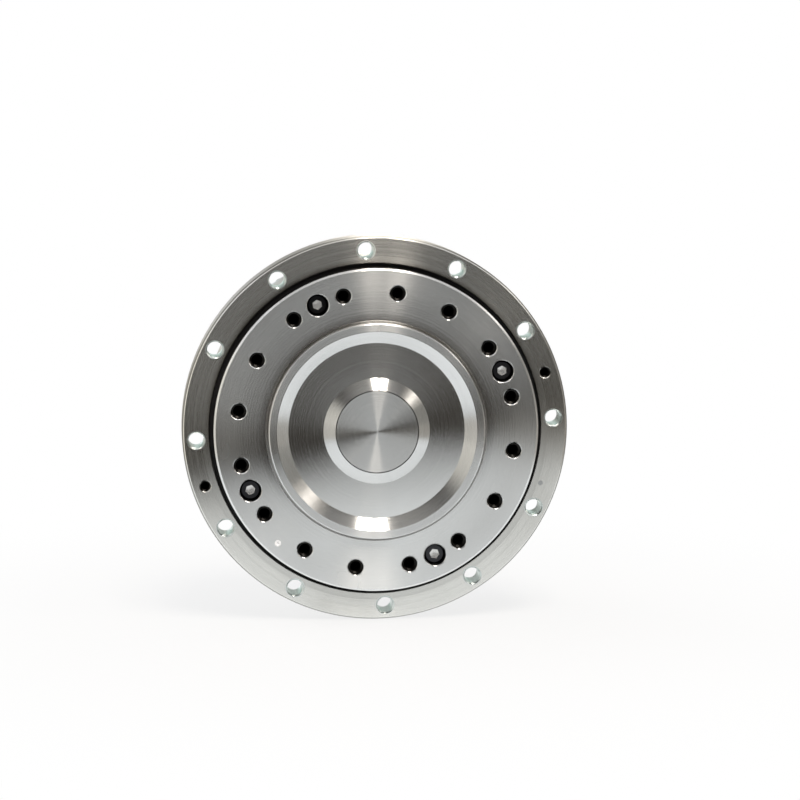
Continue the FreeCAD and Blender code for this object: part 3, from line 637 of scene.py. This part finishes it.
# what the metal mirrors of the floor: the white table, its sides, and past its front the dim room
def mirroredFloor(tree, x, y):
    edge = table["front"] * mm
    past = calc(tree, "SUBTRACT", edge, calc(tree, "MULTIPLY_ADD", x, table["slant"], y))
    beyond = remap(tree, past, table["fade"][0] * mm, table["fade"][1] * mm, smooth=True)
    toRight = remap(tree, x, -table["middle"] * mm, table["middle"] * mm)
    side = blendColours(tree, toRight, table["leftColour"], table["rightColour"])
    right = remap(tree, x, table["right"] * mm, (table["right"] + table["sideFade"]) * mm, smooth=True)
    left = remap(tree, x, table["left"] * mm, (table["left"] - table["sideFade"]) * mm, smooth=True)
    sheet = blendColours(tree, calc(tree, "MAXIMUM", left, right), table["colour"], side)
    far = remap(tree, y, table["roomFrom"] * edge, table["roomTo"] * edge, smooth=True)
    dim = blendColours(tree, far, roomColours["underTable"], roomColours["low"])
    ahead = calc(tree, "ADD", calc(tree, "ABSOLUTE", y), table["axisRoom"] * mm)
    across = calc(tree, "DIVIDE", calc(tree, "ABSOLUTE", x), ahead)
    dim = blendColours(tree, remap(tree, across, *table["wide"], smooth=True), dim, side)
    return blendColours(tree, beyond, sheet, dim)


def makeFloor():
    bpy.ops.object.select_all(action="DESELECT")
    bpy.ops.mesh.primitive_plane_add(size=table["side"] * mm, location=(0, 0, table["height"] * mm))
    floor = bpy.context.object
    floor.name = "floor"
    bpy.ops.object.transform_apply(location=True, rotation=True, scale=True)
    material = bpy.data.materials.new("paleFloor")
    tree = clearedTree(material)
    out = addNode(tree, "ShaderNodeOutputMaterial")
    matt = addNode(tree, "ShaderNodeBsdfDiffuse")
    matt.inputs["Color"].default_value = opaque(table["matt"])
    glow = addNode(tree, "ShaderNodeEmission")
    rays = addNode(tree, "ShaderNodeLightPath").outputs
    x, y, _ = splitAxes(tree, objectPlace(tree))
    near = remap(tree, distance(tree, x, y), table["shadeFrom"] * mm, table["shadeTo"] * mm, 0.0,
                 table["shade"], smooth=True)
    seen = addNode(tree, "ShaderNodeMixShader")  # to the camera: white that still takes the shadow
    plug(tree, calc(tree, "MULTIPLY", rays["Is Camera Ray"], calc(tree, "SUBTRACT", 1.0, near)),
         seen.inputs["Fac"])
    tree.links.new(matt.outputs["BSDF"], seen.inputs[1])
    tree.links.new(glow.outputs["Emission"], seen.inputs[2])
    room = addNode(tree, "ShaderNodeEmission")
    plug(tree, mirroredFloor(tree, x, y), room.inputs["Color"])
    mirrored = addNode(tree, "ShaderNodeMixShader")
    plug(tree, rays["Is Glossy Ray"], mirrored.inputs["Fac"])
    tree.links.new(seen.outputs["Shader"], mirrored.inputs[1])
    tree.links.new(room.outputs["Emission"], mirrored.inputs[2])
    tree.links.new(mirrored.outputs["Shader"], out.inputs["Surface"])
    floor.data.materials.append(material)


# where the room's parts begin and end, as shares of the direction's axes
roomSpans = {"ceiling": (0.55, 0.95), "walls": (0.62, 0.90), "wallTop": (0.36, 0.72), "middle": (-0.2, 0.2),
             "behind": (-0.30, -0.10), "lofty": (0.25, 0.6), "back": (0.3, 0.7), "backdrop": (0.75, 0.97)}


def makeWorld():
    world = bpy.data.worlds.new("studio")
    scene.world = world
    tree = clearedTree(world)
    out = addNode(tree, "ShaderNodeOutputWorld")
    x, y, z = splitAxes(tree, addNode(tree, "ShaderNodeTexCoord").outputs["Generated"])

    def span(value, name, *ends):
        return remap(tree, value, *roomSpans[name], *ends, smooth=True)

    room = blendColours(tree, span(z, "ceiling"), roomColours["low"], roomColours["high"])
    rightward = remap(tree, x, *roomSpans["middle"])
    wall = blendColours(tree, rightward, roomColours["left"], roomColours["right"])
    aside = span(calc(tree, "ABSOLUTE", x), "walls")
    room = blendColours(tree, calc(tree, "MULTIPLY", aside, span(z, "wallTop", 1.0, 0.0)), room, wall)
    lofty = calc(tree, "MAXIMUM", span(z, "lofty"), span(y, "back"))
    bright = calc(tree, "MULTIPLY", span(y, "behind"), lofty)
    mirrored = blendColours(tree, bright, room, roomColours["white"])
    mirrored = blendColours(tree, span(y, "backdrop"), mirrored, roomColours["backdrop"])
    rays = addNode(tree, "ShaderNodeLightPath").outputs
    fill = blendColours(tree, rays["Is Glossy Ray"], roomColours["fill"], mirrored)
    shown = calc(tree, "MAXIMUM", rays["Is Camera Ray"], rays["Is Transmission Ray"])
    background = addNode(tree, "ShaderNodeBackground")
    plug(tree, blendColours(tree, shown, fill, roomColours["white"]), background.inputs["Color"])
    tree.links.new(background.outputs["Background"], out.inputs["Surface"])


lamps = {
    "overheadLeft": {"place": (40, -430, 850), "aim": (40, 0, 0), "size": (100, 500), "watts": 2.2,
                     "colour": (1.0, 0.93, 0.84)},
    "overheadRight": {"place": (216, -430, 850), "aim": (216, 0, 0), "size": (124, 500), "watts": 2.7,
                      "colour": (1.0, 0.93, 0.84)},
    "rightCore": {"place": (800, -360, 550), "aim": (0, 0, 0), "size": (110, 110), "watts": 0.10,
                  "colour": (1.0, 0.95, 0.88)},
    "rightHalo": {"place": (805, -363, 554), "aim": (0, 0, 0), "size": (220, 220), "watts": 0.24,
                  "colour": (1.0, 0.93, 0.84)},
    "rightGlow": {"place": (810, -366, 558), "aim": (0, 0, 0), "size": (420, 420), "watts": 0.34,
                  "colour": (1.0, 0.92, 0.80)},
    "leftLamp": {"place": (-900, 500, 700), "aim": (0, 0, 0), "size": (700, 700), "watts": 2.4,
                 "colour": (0.95, 0.97, 1.0)},
}


def makeLamps():
    for name, lamp in lamps.items():
        light = bpy.data.lights.new(name, "AREA")
        light.shape = "RECTANGLE"
        light.size = lamp["size"][0] * mm
        light.size_y = lamp["size"][1] * mm
        light.energy = lamp["watts"]
        light.color = lamp["colour"]
        holder = bpy.data.objects.new(name, light)
        scene.collection.objects.link(holder)
        holder.location = Vector(lamp["place"]) * mm
        toward = Vector(lamp["aim"]) * mm - holder.location
        holder.rotation_euler = toward.to_track_quat("-Z", "Y").to_euler()


shot = {"azimuth": -5.2, "elevation": 7.2, "distance": 800.0, "aim": (6.95, 0.0, 8.27), "lens": 126.6,
        "sensor": 36.0, "nearest": 10.0}


def makeCamera():
    data = bpy.data.cameras.new("photoCamera")
    data.lens = shot["lens"]
    data.sensor_width = shot["sensor"]
    data.clip_start = shot["nearest"] * mm
    camera = bpy.data.objects.new("photoCamera", data)
    scene.collection.objects.link(camera)
    turn, lift = math.radians(shot["azimuth"]), math.radians(shot["elevation"])
    back = Vector((math.sin(turn) * math.cos(lift), -math.cos(turn) * math.cos(lift), math.sin(lift)))
    camera.location = Vector(shot["aim"]) * mm + back * shot["distance"] * mm
    camera.rotation_euler = (-back).to_track_quat("-Z", "Y").to_euler()
    scene.camera = camera


makeFloor()
makeWorld()
makeLamps()
makeCamera()
print("stage: floor, world,", len(lamps), "lamps, camera")
